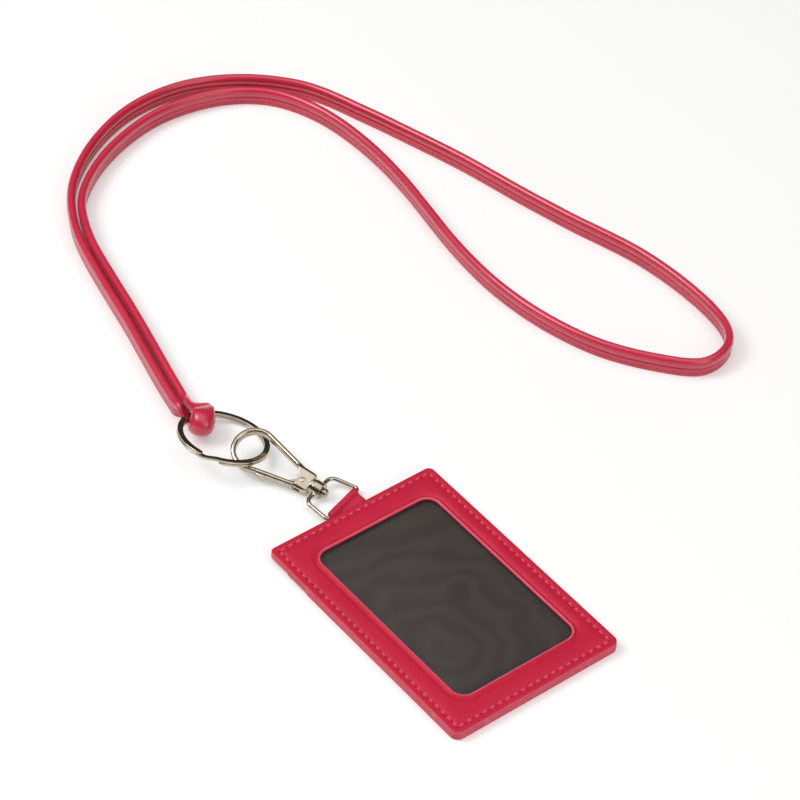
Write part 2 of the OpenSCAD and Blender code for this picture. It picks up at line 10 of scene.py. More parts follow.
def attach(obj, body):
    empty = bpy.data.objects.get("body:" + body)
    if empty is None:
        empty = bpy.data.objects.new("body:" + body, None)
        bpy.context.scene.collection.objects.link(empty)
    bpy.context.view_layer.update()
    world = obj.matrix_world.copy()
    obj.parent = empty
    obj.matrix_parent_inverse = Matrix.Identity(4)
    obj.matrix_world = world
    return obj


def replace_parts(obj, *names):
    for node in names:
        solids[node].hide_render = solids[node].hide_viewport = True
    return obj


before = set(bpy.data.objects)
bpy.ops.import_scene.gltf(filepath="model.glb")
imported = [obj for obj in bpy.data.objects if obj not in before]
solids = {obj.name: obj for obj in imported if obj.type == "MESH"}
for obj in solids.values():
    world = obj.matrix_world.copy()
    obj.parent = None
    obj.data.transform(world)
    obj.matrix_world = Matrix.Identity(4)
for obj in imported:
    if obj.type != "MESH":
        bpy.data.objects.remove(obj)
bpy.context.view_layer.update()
MM = 0.001

# ---- View --------------------------------------------------------------------
# The wallet is looked at from over its foot and its left side, through a long
# lens, with the hook to the left and the strap's loop laid out to the right.
VIEW_TARGET = Vector((51.72, 91.59, 0))
VIEW_DISTANCE = 1285
VIEW_AZIMUTH, VIEW_ELEVATION, VIEW_ROLL = map(math.radians, (-39.2, 43.3, 2.3))
LENS = 154.08
SENSOR_WIDTH = 36
SEEN_TO_M = 50


def view_camera():
    forward = Vector((
        -math.sin(VIEW_AZIMUTH) * math.cos(VIEW_ELEVATION),
        math.cos(VIEW_AZIMUTH) * math.cos(VIEW_ELEVATION),
        -math.sin(VIEW_ELEVATION),
    ))
    right = Vector((math.cos(VIEW_AZIMUTH), math.sin(VIEW_AZIMUTH), 0))
    up = right.cross(forward)
    across = right * math.cos(VIEW_ROLL) + up * math.sin(VIEW_ROLL)
    above = up * math.cos(VIEW_ROLL) - right * math.sin(VIEW_ROLL)
    lens = bpy.data.cameras.new("view")
    lens.lens, lens.sensor_width, lens.clip_end = LENS, SENSOR_WIDTH, SEEN_TO_M
    camera = bpy.data.objects.new("view", lens)
    turn = Matrix((across, above, -forward)).transposed().to_4x4()
    place = (VIEW_TARGET - VIEW_DISTANCE * forward) * MM
    camera.matrix_world = Matrix.Translation(place) @ turn
    bpy.context.collection.objects.link(camera)
    bpy.context.scene.camera = camera


view_camera()

# ---- Neck strap --------------------------------------------------------------
# A strip of crimson leather folded lengthwise over a cord of waste, so that its
# fold is round, and sewn near its two edges. It lies on those edges, in a long
# loop of two strands side by side.
STRAP_WIDTH, STRAP_THICK = 8, 3.5
RING_MIDDLE = Vector((-17.7505, 108.0532, 6.4668))
STRAP_ROUTE = [
    (-2.9, 27.5), (0.5, 43.5), (8, 74), (14.5, 103.5), (21.5, 129), (34, 151.5),
    (54, 169), (80, 180.5), (107, 181), (131, 170), (149, 151), (158, 128),
    (165.5, 103), (173, 75.5), (179, 46.5), (185.5, 19.5), (193, -8), (195.5, -34.5),
    (193.5, -57.5), (186, -70), (172, -72.5), (160, -62), (146.5, -41.5),
    (138.5, -15.5), (136, 12.5), (138.5, 41.5), (144, 72.5), (147, 101.5),
    (145, 131.5), (135, 155), (115, 168.5), (87, 171.5), (58, 162.5), (36.5, 147),
    (26.5, 130), (20.5, 111), (13, 76.5), (5, 43.5), (1.2, 27.5),
]
STRAP_ROUNDS = 4
# One side of the section, upwards: share of the thickness, share of the width
STRAP_SIDE = [
    (0.22, 0), (0.33, 0.02), (0.37, 0.08), (0.36, 0.17), (0.345, 0.22), (0.36, 0.27),
    (0.375, 0.36), (0.35, 0.43), (0.29, 0.475), (0.35, 0.52), (0.44, 0.6),
    (0.495, 0.69), (0.49, 0.78), (0.42, 0.88), (0.27, 0.96), (0.09, 0.995),
]
STITCH_PITCH = 3
STRAP_SEAM_AT = (0.35, 0.22)
SWELL_SHARE, SWELL_SIZE = 0.035, 11
SHARP_FROM = math.radians(50)
STRAP_RED, STRAP_RED_DEEP = (0.76, 0.026, 0.08), (0.5, 0.01, 0.042)
# The second colour is painted shade for the needle holes
THREAD_RED, HOLE_SHADE_RED = (0.6, 0.07, 0.13), (0.22, 0.006, 0.022)


class Value:
    """A number or colour in a finish; sums on it add the nodes that work it out."""

    def __init__(self, finish, socket):
        self.finish, self.socket = finish, socket

    def sum(self, operation, first, second):
        return self.finish.node(
            "Math", {"operation": operation}, {0: first, 1: second})

    def __add__(self, other):
        return self.sum("ADD", self, other)

    def __sub__(self, other):
        return self.sum("SUBTRACT", self, other)

    def __rsub__(self, other):
        return self.sum("SUBTRACT", other, self)

    def __mul__(self, other):
        return self.sum("MULTIPLY", self, other)

    __radd__, __rmul__ = __add__, __mul__

    def above(self, low, high):
        """0 below low, 1 above high, and smooth in between."""
        return self.finish.node(
            "MapRange", {"interpolation_type": "SMOOTHSTEP"},
            {"Value": self, "From Min": low, "From Max": high})

    def near(self, middle, half):
        """1 at the middle, and 0 from half away on."""
        away = self.finish.node("Math", {"operation": "ABSOLUTE"}, {0: self - middle})
        return 1 - away.above(0, half)


class Finish:
    """One procedural material with a single Principled shader."""

    def __init__(self, name, **constants):
        self.material = bpy.data.materials.new(name)
        self.material.use_nodes = True
        self.nodes = self.material.node_tree.nodes
        self.links = self.material.node_tree.links
        self.shader = self.nodes["Principled BSDF"]
        self.set(self.shader, {k.replace("_", " "): v for k, v in constants.items()})
        self.place = self.node("TexCoord", output="Object")

    def set(self, node, sockets):
        for key, value in sockets.items():
            if isinstance(value, Value):
                self.links.new(value.socket, node.inputs[key])
            elif isinstance(value, tuple) and len(value) == 3 and (
                    node.inputs[key].type == "RGBA"):
                node.inputs[key].default_value = (*value, 1)
            else:
                node.inputs[key].default_value = value

    def node(self, kind, settings=None, sockets=None, output=0):
        made = self.nodes.new("ShaderNode" + kind)
        for key, value in (settings or {}).items():
            if key == "stops":
                ramp = made.color_ramp.elements
                while len(ramp) < len(value):
                    ramp.new(0.5)
                for stop, (at, colour) in zip(ramp, value):
                    stop.position, stop.color = at, (*colour, 1)
            else:
                setattr(made, key, value)
        self.set(made, sockets or {})
        return Value(self, made.outputs[output])

    def axis(self, name):
        return self.node("SeparateXYZ", sockets={0: self.place}, output=name)

    def cloud(self, size, detail=2, stretch=(1, 1, 1)):
        """Soft noise whose patches are about size millimetres across."""
        spread = self.node("VectorMath", {"operation": "MULTIPLY"}, {
            0: self.place, 1: tuple(s / (size * MM) for s in stretch)})
        return self.node("TexNoise", sockets={
            "Vector": spread, "Scale": 1, "Detail": detail})

    def pebbles(self, size, softness=0.6):
        """The rounded cells of a leather's grain; 0 in a cell's middle."""
        return self.node(
            "TexVoronoi", {"feature": "SMOOTH_F1"},
            {"Vector": self.place, "Scale": 1 / (size * MM), "Smoothness": softness},
            "Distance")

    def mixed(self, share, first, second):
        """One colour where share is 0 and the other where it is 1."""
        return self.node(
            "Mix", {"data_type": "RGBA"}, {0: share, 6: first, 7: second}, 2)

    def bump(self, height, depth, strength=1.0):
        """Raises the surface by depth millimetres where height is 1."""
        self.set(self.shader, {"Normal": self.node("Bump", sockets={
            "Height": height, "Distance": depth * MM, "Strength": strength,
        }, output="Normal")})

    def colour(self, value):
        self.set(self.shader, {"Base Color": value})

    def roughness(self, value):
        self.set(self.shader, {"Roughness": value})


def leather(name, light, deep, grain, grain_depth, shine, creases=()):
    """Dyed leather with a fine pebbled grain and slow shifts of its colour. A
    crease is (axis, place, width), a line pressed into the surface."""
    finish = Finish(
        name, Coat_Weight=shine, Coat_Roughness=0.24,
        Specular_IOR_Level=0.22 + 0.5 * shine)
    cells = finish.pebbles(grain)
    pores = finish.cloud(grain * 0.45, 3)
    slow = finish.cloud(17, 2).above(0.3, 0.72)
    fine = finish.cloud(2.6, 3).above(0.25, 0.8)
    height = 1 - cells * 1.15 + pores * 0.35 + fine * 0.25
    pressed = None
    for axis, place, width in creases:
        line = finish.axis(axis).near(place * MM, width * MM)
        pressed = line if pressed is None else pressed + line
    if pressed is not None:
        height = height - pressed * 5
    base = finish.mixed(slow * 0.3 + fine * 0.12, light, deep)
    # Painted shade: the grain's valleys and the pressed creases are darkened in colour
    shade = cells.above(0.35, 0.95) * 0.22
    if pressed is not None:
        shade = shade + pressed * 0.35
    finish.colour(finish.mixed(shade, base, tuple(c * 0.7 for c in deep)))
    finish.roughness(0.44 - 0.3 * shine + fine * 0.08 + cells * 0.1)
    finish.bump(height, grain_depth)
    return finish.material


def painted_edge(name, colour, worn):
    """Edge paint: a satin skin with small runs and a few rubbed places."""
    finish = Finish(name, Coat_Weight=0.1, Coat_Roughness=0.35)
    runs = finish.cloud(1.1, 2)
    rubbed = finish.cloud(5, 3).above(0.5, 0.75)
    finish.colour(finish.mixed(rubbed * 0.6 + runs * 0.25, colour, worn))
    finish.roughness(0.38 + runs * 0.2)
    finish.bump(runs, 0.05)
    return finish.material


def sewing_thread(name, colour):
    """Twisted thread: fine slanted ridges, with painted shade between them."""
    finish = Finish(name, Sheen_Weight=0.04, Specular_IOR_Level=0.2)
    twist = finish.node("TexWave", {"bands_direction": "DIAGONAL"}, {
        "Vector": finish.place, "Scale": 900, "Distortion": 0.6})
    # Painted shade: a darker copy of the thread's colour for the grooves of its twist
    shaded = tuple(c * 0.7 for c in colour)
    finish.colour(finish.mixed(twist.above(0, 0.5), shaded, colour))
    finish.roughness(0.55 + twist * 0.1)
    finish.bump(twist, 0.05)
    return finish.material


def needle_hole_shade(name, colour):
    """Painted shade: a dark mark at each hole the needle leaves, darker in patches."""
    finish = Finish(name)
    depth = finish.cloud(0.3, 1)
    finish.colour(finish.mixed(depth, colour, tuple(c * 0.5 for c in colour)))
    finish.roughness(0.6 + depth * 0.2)
    return finish.material


def made_piece(name, points, faces, finishes, body, slots=None):
    """A smooth piece from points in millimetres, with its normals turned out."""
    mesh = bpy.data.meshes.new(name)
    mesh.from_pydata([tuple(c * MM for c in p) for p in points], [], faces)
    for finish in finishes:
        mesh.materials.append(finish)
    if slots:
        mesh.polygons.foreach_set("material_index", slots)
    work = bmesh.new()
    work.from_mesh(mesh)
    bmesh.ops.recalc_face_normals(work, faces=work.faces)
    for face in work.faces:
        face.smooth = True
    for edge in work.edges:
        edge.smooth = not edge.is_manifold or edge.calc_face_angle() < SHARP_FROM
    work.to_mesh(mesh)
    work.free()
    piece = bpy.data.objects.new(name, mesh)
    bpy.context.collection.objects.link(piece)
    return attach(piece, body)


def skin_faces(rings, sides, round_path=False, caps=True):
    """The faces between rings that have as many points each."""
    faces = []
    for i in range(rings if round_path else rings - 1):
        a, b = i * sides, (i + 1) % rings * sides
        for j in range(sides):
            k = (j + 1) % sides
            faces.append((a + j, a + k, b + k, b + j))
    if caps and not round_path:
        faces.append(tuple(range(sides - 1, -1, -1)))
        faces.append(tuple((rings - 1) * sides + j for j in range(sides)))
    return faces


def skinned(name, rings, finish, body, **ways):
    points = [p for ring in rings for p in ring]
    return made_piece(
        name, points, skin_faces(len(rings), len(rings[0]), **ways), [finish], body)


def mirrored(side):
    return side + [(-x, z) for x, z in reversed(side)]


def smoothed(route, rounds):
    """The route with a point put on its curve in the middle of each step."""
    for _ in range(rounds):
        finer = []
        for i in range(len(route) - 1):
            before, after = route[max(i - 1, 0)], route[min(i + 2, len(route) - 1)]
            finer += [route[i], (9 * (route[i] + route[i + 1]) - before - after) / 16]
        route = finer + [route[-1]]
    return route


def heading(path, i):
    return (path[min(i + 1, len(path) - 1)] - path[max(i - 1, 0)]).normalized()


def marks_along(path, pitch, first=0.0):
    """Places at even steps on a path: (step's index, share of it) for each."""
    marks, gone, due = [], 0.0, first
    for i in range(len(path) - 1):
        step = (path[i + 1] - path[i]).length
        while due < gone + step:
            marks.append((i, (due - gone) / step))
            due += pitch
        gone += step
    return marks


def sewn(name, marks, length, radius, sink, finish, body):
    """Short rounded stitches, whose ends sink in. A mark is (middle, way along,
    way out)."""
    sides, rings = 7, 6
    points, faces = [], []
    for middle, along, out in marks:
        across = along.cross(out).normalized()
        start = len(points)
        for i in range(rings):
            t = 2 * i / (rings - 1) - 1
            girth = radius * max(1 - t ** 4, 0.12) ** 0.5
            heart = middle + along * (t * length / 2) - out * (sink * t * t)
            for j in range(sides):
                a = math.tau * j / sides
                way = math.cos(a) * across + math.sin(a) * out
                points.append(heart + girth * way)
        faces += [tuple(start + k for k in f) for f in skin_faces(rings, sides)]
    return made_piece(name, points, faces, [finish], body)


strap_leather = leather(
    "strap_leather", STRAP_RED, STRAP_RED_DEEP, grain=0.55, grain_depth=0.01,
    shine=0.65)
thread = sewing_thread("thread", THREAD_RED)
hole_shade = needle_hole_shade("needle_hole_shade", HOLE_SHADE_RED)
strap_section = [
    (x * STRAP_THICK, z * STRAP_WIDTH) for x, z in mirrored(STRAP_SIDE)]
strap_path = smoothed(
    [Vector((x + RING_MIDDLE.x, y + RING_MIDDLE.y, 0)) for x, y in STRAP_ROUTE],
    STRAP_ROUNDS)


def strap_side(i):
    way = heading(strap_path, i)
    return Vector((way.y, -way.x, 0)).normalized()


def strap_ring(i):
    side, middle = strap_side(i), strap_path[i]
    swell = 1 + SWELL_SHARE * noise.noise(middle / SWELL_SIZE)
    return [
        middle + side * (x * (swell if z > STRAP_WIDTH / 2 else 1)) + Vector((0, 0, z))
        for x, z in strap_section
    ]


neck_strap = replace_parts(skinned(
    "neck_strap_leather", [strap_ring(i) for i in range(len(strap_path))],
    strap_leather, "strap"), "neck_strap")


def strap_marks(first):
    """Seam places on both faces of the strap."""
    marks = []
    for i, share in marks_along(strap_path, STITCH_PITCH, first):
        along = (strap_path[i + 1] - strap_path[i]).normalized()
        middle = strap_path[i].lerp(strap_path[i + 1], share)
        middle = middle + Vector((0, 0, STRAP_SEAM_AT[1] * STRAP_WIDTH))
        for way in (1, -1):
            out = way * strap_side(i)
            face = middle + out * (STRAP_SEAM_AT[0] * STRAP_THICK - 0.02)
            marks.append((face, along, out))
    return marks


strap_seam = sewn(
    "strap_seam", strap_marks(STITCH_PITCH / 2), length=2.1, radius=0.17, sink=0.14,
    finish=thread, body="strap")
# Dark marks at the needle holes: painted shade
strap_hole_shades = sewn(
    "strap_seam_hole_shades", strap_marks(STITCH_PITCH), length=0.75, radius=0.16, sink=0,
    finish=hole_shade, body="strap")

# ---- Strap's end -------------------------------------------------------------
# Both strands turn from their edge on to the flat, and run round the split
# ring's wire as one broad band, which is glued and pressed to a rounded bulb.
RING_TILT = (-2.1, 18.3)
RING_MID_R = 16.4
WIRE_BEARING = 88
WRAP_R, WRAP_THICK, WRAP_WIDTH = 2.3064, 1.75, 9.6
BULB_THICK, BULB_LEAN, BULB_CROWN = 8.3, 2.5, 0.55
TWIST_PULL, TWIST_STEPS, WRAP_STEP = 13, 26, 7.5
# One side of the flat band's section, as of the strap's
BAND_SIDE = [
    (0.12, 0), (0.3, 0.015), (0.42, 0.05), (0.47, 0.1), (0.485, 0.16), (0.49, 0.23),
    (0.495, 0.3), (0.5, 0.38), (0.5, 0.46), (0.5, 0.54), (0.5, 0.62),
    (0.49, 0.72), (0.48, 0.84), (0.43, 0.93), (0.3, 0.98), (0.1, 1),
]

ring_turn = (
    Matrix.Rotation(math.radians(RING_TILT[1]), 3, "Y")
    @ Matrix.Rotation(math.radians(RING_TILT[0]), 3, "X"))
wire_out = ring_turn @ Vector((
    math.cos(math.radians(WIRE_BEARING)), math.sin(math.radians(WIRE_BEARING)), 0))
wire_along = ring_turn @ Vector((
    -math.sin(math.radians(WIRE_BEARING)), math.cos(math.radians(WIRE_BEARING)), 0))
wire_up = ring_turn @ Vector((0, 0, 1))
wire_middle = RING_MIDDLE + RING_MID_R * wire_out


def eased(t):
    """0 to 1, slow at both ends."""
    return t * t * (3 - 2 * t)


def wrap_place(degrees):
    """A place on the bulb, degrees round the wire: (middle, way on, thickness way,
    width way, thickness, width, flatness)"""
    a = math.radians(degrees)
    out = math.cos(a) * wire_out + math.sin(a) * wire_up
    swell = math.cos(a) ** 2
    thick = (1 - swell) * WRAP_THICK + swell * BULB_THICK
    return (
        wire_middle + (WRAP_R + thick / 2) * out + swell * BULB_LEAN * wire_along,
        math.cos(a) * wire_up - math.sin(a) * wire_out,
        -out, wire_along, thick, WRAP_WIDTH, 1.0)


def strand_place(i, beside):
    """The same for a strand's end on the table."""
    way = (strap_path[beside] - strap_path[i]).normalized()
    way = way if i == 0 else -way
    return (
        strap_path[i] + Vector((0, 0, STRAP_WIDTH / 2)), way,
        Vector((way.y, -way.x, 0)), Vector((0, 0, 1)), STRAP_THICK, STRAP_WIDTH, 0.0)


def band_ring(place):
    """The leather's section there: its outer face is crowned, and none of it is
    under the table."""
    middle, _, side, up, thick, width, flat = place
    crown = BULB_CROWN * max(0, thick - STRAP_THICK)
    ring = []
    for (sx, sz), (bx, bz) in zip(mirrored(STRAP_SIDE), mirrored(BAND_SIDE)):
        x, z = sx + (bx - sx) * flat, sz + (bz - sz) * flat
        drop = crown * (2 * z - 1) ** 2 if x < 0 else 0
        ring.append(middle + (x * thick + drop) * side + (z - 0.5) * width * up)
    lift = max(0, -min(p.z for p in ring))
    return [p + Vector((0, 0, lift)) for p in ring]


def twisted(start, end):
    """The leather between two places, turned and pulled from one to the other."""
    rings = []
    for i in range(TWIST_STEPS + 1):
        t = i / TWIST_STEPS
        u = eased(t)
        pull = t * (1 - t) * (1 - t) * start[1] - t * t * (1 - t) * end[1]
        middle = start[0].lerp(end[0], u) + TWIST_PULL * pull
        rings.append(band_ring((
            middle, None, start[2].lerp(end[2], u).normalized(),
            start[3].lerp(end[3], u).normalized(),
            *(a + (b - a) * u for a, b in zip(start[4:], end[4:])))))
    return rings


ends = len(strap_path) - 1
strap_bulb = skinned(
    "strap_end_leather",
    twisted(strand_place(ends, ends - 1), wrap_place(90))
    + [band_ring(wrap_place(90 + WRAP_STEP * i)) for i in range(1, 24)]
    + twisted(wrap_place(270), strand_place(0, 1)),
    strap_leather, "strap")
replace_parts(strap_bulb, "strap_end_loop")

strap_length = sum(
    (b - a).length for a, b in zip(strap_path, strap_path[1:])) * MM
strap_heart = [(p + Vector((0, 0, STRAP_WIDTH / 2))) * MM for p in strap_path]

# ---- Split ring --------------------------------------------------------------
# Two turns of flat spring wire, nickel plated and polished. The turns lie face
# to face, with one step from the first to the second, and round cut ends.
WIRE_W, WIRE_T, TURN_PITCH = 2.2, 0.9, 1.0
STEP_BEARING, STEP_HALF, END_HALF = 215, 10, 12
RING_STEPS, END_STEPS = 420, 4
WIRE_CORNER_R = 0.24
NICKEL, NICKEL_DEEP = (0.56, 0.49, 0.39), (0.33, 0.28, 0.215)
NICKEL_WAVES = 0.014
FLAT_SHARES = (0.1, 0.9)


def polished_nickel():
    """Polished nickel plate: bright, slightly uneven, dull in specks."""
    finish = Finish("polished_nickel", Metallic=1.0)
    uneven = finish.cloud(3.2, 2)
    specks = finish.cloud(0.5, 3).above(0.58, 0.75)
    finish.colour(finish.mixed(uneven.above(0.35, 0.75) * 0.5 + specks * 0.08,
                               NICKEL, NICKEL_DEEP))
    finish.roughness(0.14 + specks * 0.05 + uneven * 0.06)
    finish.bump(uneven, NICKEL_WAVES)
    return finish.material


nickel = polished_nickel()


def rounded_section(w, h, r, steps=5):
    """A rectangle with round corners, w across and h up."""
    ring = []
    for corner, (sx, sz) in enumerate(((1, 1), (-1, 1), (-1, -1), (1, -1))):
        for i in range(steps + 1):
            a = math.radians(90 * corner + 90 * i / steps)
            ring.append((
                sx * (w / 2 - r) + r * math.cos(a), sz * (h / 2 - r) + r * math.sin(a)))
        # Two more points keep the flat side after this corner flat
        (x, z), flat_w, flat_h = ring[-1], w - 2 * r, h - 2 * r
        for share in FLAT_SHARES:
            step = ((-share * flat_w, 0), (0, -share * flat_h),
                    (share * flat_w, 0), (0, share * flat_h))[corner]
            ring.append((x + step[0], z + step[1]))
    return ring


def split_ring_rings():
    """Both turns of the wire, from one slimmed end to the other."""
    section = rounded_section(WIRE_W, WIRE_T, WIRE_CORNER_R)
    rings = []
    for i in range(RING_STEPS + 1):
        share = i / RING_STEPS
        a = END_HALF + (720 - 2 * END_HALF) * share
        up = eased(min(max((a - 360 + STEP_HALF) / (2 * STEP_HALF), 0), 1))
        to_end = min(share, 1 - share) * RING_STEPS / END_STEPS
        slim = 1 if to_end > 1 else 0.55 + 0.45 * (1 - (1 - to_end) ** 2) ** 0.5
        b = math.radians(STEP_BEARING + a)
        out = Vector((math.cos(b), math.sin(b), 0))
        heart = RING_MID_R * out + Vector((0, 0, TURN_PITCH * (up - 0.5)))
        rings.append([
            RING_MIDDLE + ring_turn @ (heart + slim * (x * out + Vector((0, 0, z))))
            for x, z in section])
    return rings


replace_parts(skinned(
    "split_ring_wire", split_ring_rings(), nickel, "ring"), "split_ring")

# ---- Trigger hook and D ring -------------------------------------------------
# Zinc castings, tumbled, polished and nickel plated: the hook's eye with its two
# arms and block, the gate with its thumb lip, and the D ring with its boss. The
# casting leaves all edges rounded.
CAST_VOXEL, CAST_PASSES, PLATING = 0.11, 5, 0.06
STEEL, STEEL_DEEP = (0.5, 0.5, 0.5), (0.36, 0.36, 0.37)


def casting(name, node, body):
    """The CAD solid with its edges rounded over as in a tumbled casting."""
    block = bpy.data.objects.new(name, solids[node].data.copy())
    block.data.materials.clear()
    bpy.context.collection.objects.link(block)
    work = bmesh.new()
    work.from_mesh(block.data)
    bmesh.ops.remove_doubles(work, verts=work.verts, dist=0.002 * MM)
    work.to_mesh(block.data)
    work.free()
    remesh = block.modifiers.new("voxels", "REMESH")
    remesh.mode, remesh.voxel_size = "VOXEL", CAST_VOXEL * MM
    tumble = block.modifiers.new("tumbled", "SMOOTH")
    tumble.factor, tumble.iterations = 0.5, CAST_PASSES
    plate = block.modifiers.new("plated", "DISPLACE")
    plate.strength, plate.mid_level = PLATING * MM, 0
    seen = block.evaluated_get(bpy.context.evaluated_depsgraph_get())
    mesh = bpy.data.meshes.new_from_object(seen)
    block.modifiers.clear()
    block.data = mesh
    mesh.name = name
    mesh.materials.clear()
    mesh.materials.append(nickel)
    mesh.shade_smooth()
    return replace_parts(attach(block, body), node)


casting("hook_casting", "hook_body", "hook")
casting("gate_casting", "gate", "gate_lever")
casting("d_ring_casting", "d_ring", "d_link")

LAY_YAW, LAY_RISE, LAY_ROLL = 18, 6.5, -18
BAR_PLACE = Vector((0, 58.4, 2))
BLOCK_FOOT = 14
GATE_PIVOT = Vector((-0.8, 3.2, 0))
bar_turn = (
    Matrix.Rotation(math.radians(LAY_YAW), 3, "Z")
    @ Matrix.Rotation(math.radians(LAY_RISE), 3, "X"))
hook_turn = bar_turn @ Matrix.Rotation(math.radians(LAY_ROLL), 3, "Y")
HOOK_FOOT = BAR_PLACE + bar_turn @ Vector((0, BLOCK_FOOT, 0))


def turned(name, node, body, profile, at, turn, sides=40):
    """A piece turned on a lathe from (radius, height) pairs, along turn's Z."""
    rings = []
    for radius, height in profile:
        rings.append([
            at + turn @ Vector((
                radius * math.cos(math.tau * j / sides),
                radius * math.sin(math.tau * j / sides), height))
            for j in range(sides)])
    made = skinned(name, rings, nickel, body)
    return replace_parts(made, node)


# The swivel pin: its domed head sits inside the D ring, its shank in the boss
along_axis = bar_turn @ Matrix.Rotation(math.radians(-90), 3, "X")
turned(
    "swivel_pin_turned", "swivel_pin", "hook",
    [(0.5, 7.15), (1.2, 7.2), (1.6, 7.45), (1.7, 7.8), (1.7, 8.7), (1.6, 9.0),
     (1.25, 9.12), (1.25, 14.0), (1.22, 15.2)],
    BAR_PLACE, along_axis)
# The gate's rivet, domed at both faces of the block
turned(
    "gate_rivet", "gate_pin", "hook",
    [(0.3, -2.62), (0.8, -2.56), (1.02, -2.46), (1.05, -2.36), (0.8, -2.3), (0.8, 2.3),
     (1.05, 2.36), (1.02, 2.46), (0.8, 2.56), (0.3, 2.62)],
    HOOK_FOOT + hook_turn @ GATE_PIVOT, hook_turn)


def spring_wire_finish():
    """Drawn steel wire: grey, with fine lines along it."""
    finish = Finish("spring_steel", Metallic=1.0)
    lines = finish.cloud(0.2, 2)
    finish.colour(finish.mixed(lines, STEEL, STEEL_DEEP))
    finish.roughness(0.3 + lines * 0.15)
    return finish.material


spring_steel = spring_wire_finish()
solids["gate_spring"].data.materials.clear()
solids["gate_spring"].data.materials.append(spring_steel)

# ---- Front panel -------------------------------------------------------------
# One sheet of crimson leather over thin padding, with the window cut out and its
# edge turned over a bead. A row of stitches runs round it near the edge, and the
# sides and the foot are turned in as a hem.
WALLET_W, WALLET_L = 73, 108
FOOT_R, MOUTH_R = 3.2, 2.3
WINDOW_W, WINDOW_L, WINDOW_R, WINDOW_SHIFT = 52, 84, 5, 1
SEAM_IN, WALLET_PITCH = 2.7, 3.3
ARC_STEPS, SIDE_STEPS = 8, 30
HEM_WIDE, SIDE_WALL = 8, 0.97
PUFF, PUFF_SIZE, PUFF_FROM = 0.09, 13, 3.9
RED, RED_DEEP = (0.67, 0.016, 0.056), (0.5, 0.008, 0.035)
WALLET_GRAIN, WALLET_SHINE = 0.62, 0.08
# Pale pinks that paint the highlight on the front's edges and the bead's crest
HIGHLIGHT_PINK, HIGHLIGHT_PALE = (0.76, 0.075, 0.14), (0.82, 0.15, 0.23)
THREAD_PINK = (0.96, 0.095, 0.17)


def panel_loop(width, low, high, r_low, r_high, inset):
    """Points round a panel inset from its outline, from the lower right corner."""
    loop, ends = [], []
    corners = ((1, low, 1, r_low, -90), (1, high, -1, r_high, 0),
               (-1, high, -1, r_high, 90), (-1, low, 1, r_low, 180))
    for sx, y, sy, r, start in corners:
        r = max(r - inset, 0.05)
        heart = (sx * (width / 2 - inset - r), y + sy * (inset + r))
        arc = []
        for i in range(ARC_STEPS + 1):
            a = math.radians(start + 90 * i / ARC_STEPS)
            arc.append((heart[0] + r * math.cos(a), heart[1] + r * math.sin(a)))
        ends.append(arc)
    for c, arc in enumerate(ends):
        loop += arc
        (ax, ay), (bx, by) = arc[-1], ends[(c + 1) % 4][0]
        for i in range(1, SIDE_STEPS):
            t = i / SIDE_STEPS
            loop.append((ax + (bx - ax) * t, ay + (by - ay) * t))
    return loop


def wallet_loop(inset, high=WALLET_L / 2, r_high=MOUTH_R):
    return panel_loop(WALLET_W, -WALLET_L / 2, high, FOOT_R, r_high, inset)


def window_loop(outset):
    half = WINDOW_L / 2
    loop = panel_loop(WINDOW_W, -half, half, WINDOW_R, WINDOW_R, -outset)
    return [(x + WINDOW_SHIFT, y) for x, y in loop]


# The front's section as (distance from the edge, height, finish): from its hidden
# underside round the wallet's edge and over the padding, with the seam's groove.
# Finish 1 is the pale pink painted highlight along the outer edge
WALLET_SIDE = [
    (8, 3.42, 0), (0.5, 3.42, 0), (0.06, 3.43, 1), (0, 3.52, 1), (0.03, 3.78, 1),
    (0.18, 3.95, 0), (0.4, 4.03, 0), (1, 4.08, 0), (1.7, 4.02, 0), (2.25, 3.86, 0),
    (SEAM_IN, 3.78, 0), (3.15, 3.86, 0), (3.7, 4.06, 0), (4.4, 4.22, 0), (5.2, 4.3, 0),
]
# The rest, as (distance from the window, height, finish): over the crease and the
# bead, and down into the window; finish 1 paints the highlight on the bead's crest
WINDOW_SIDE = [
    (3.9, 4.32, 0), (3.2, 4.24, 0), (2.6, 4.06, 0), (2.1, 3.8, 0), (1.85, 3.7, 0),
    (1.65, 3.76, 0), (1.45, 4.04, 0), (1.15, 4.3, 0), (0.8, 4.4, 1), (0.45, 4.38, 1),
    (0.2, 4.26, 1), (0.02, 4.04, 1), (0, 3.8, 0), (0, 3.42, 0),
]


def front_ring(loop, height):
    """One line round the front; high on the padding it is a little uneven."""
    ring = []
    for x, y in loop:
        puff = PUFF * noise.noise(Vector((x / PUFF_SIZE, y / PUFF_SIZE, 0)))
        share = max(0, min(1, (height - PUFF_FROM) * 3))
        ring.append(Vector((x, y, height + puff * share)))
    return ring


wallet_leather = leather(
    "wallet_leather", RED, RED_DEEP, WALLET_GRAIN, 0.055, WALLET_SHINE)
# Painted highlight: pale pink edge paint for lit edges and crests, with worn patches
edge_highlight = painted_edge("edge_highlight", HIGHLIGHT_PINK, HIGHLIGHT_PALE)


def front_panel():
    rings = [front_ring(wallet_loop(away), height) for away, height, _ in WALLET_SIDE]
    rings += [front_ring(window_loop(away), height) for away, height, _ in WINDOW_SIDE]
    around = len(rings[0])
    return made_piece(
        "front_leather", [p for ring in rings for p in ring],
        skin_faces(len(rings), around, round_path=True), [wallet_leather, edge_highlight],
        "wallet", [row[2] for row in WALLET_SIDE + WINDOW_SIDE for _ in range(around)])


front = front_panel()
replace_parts(front, "front_panel")


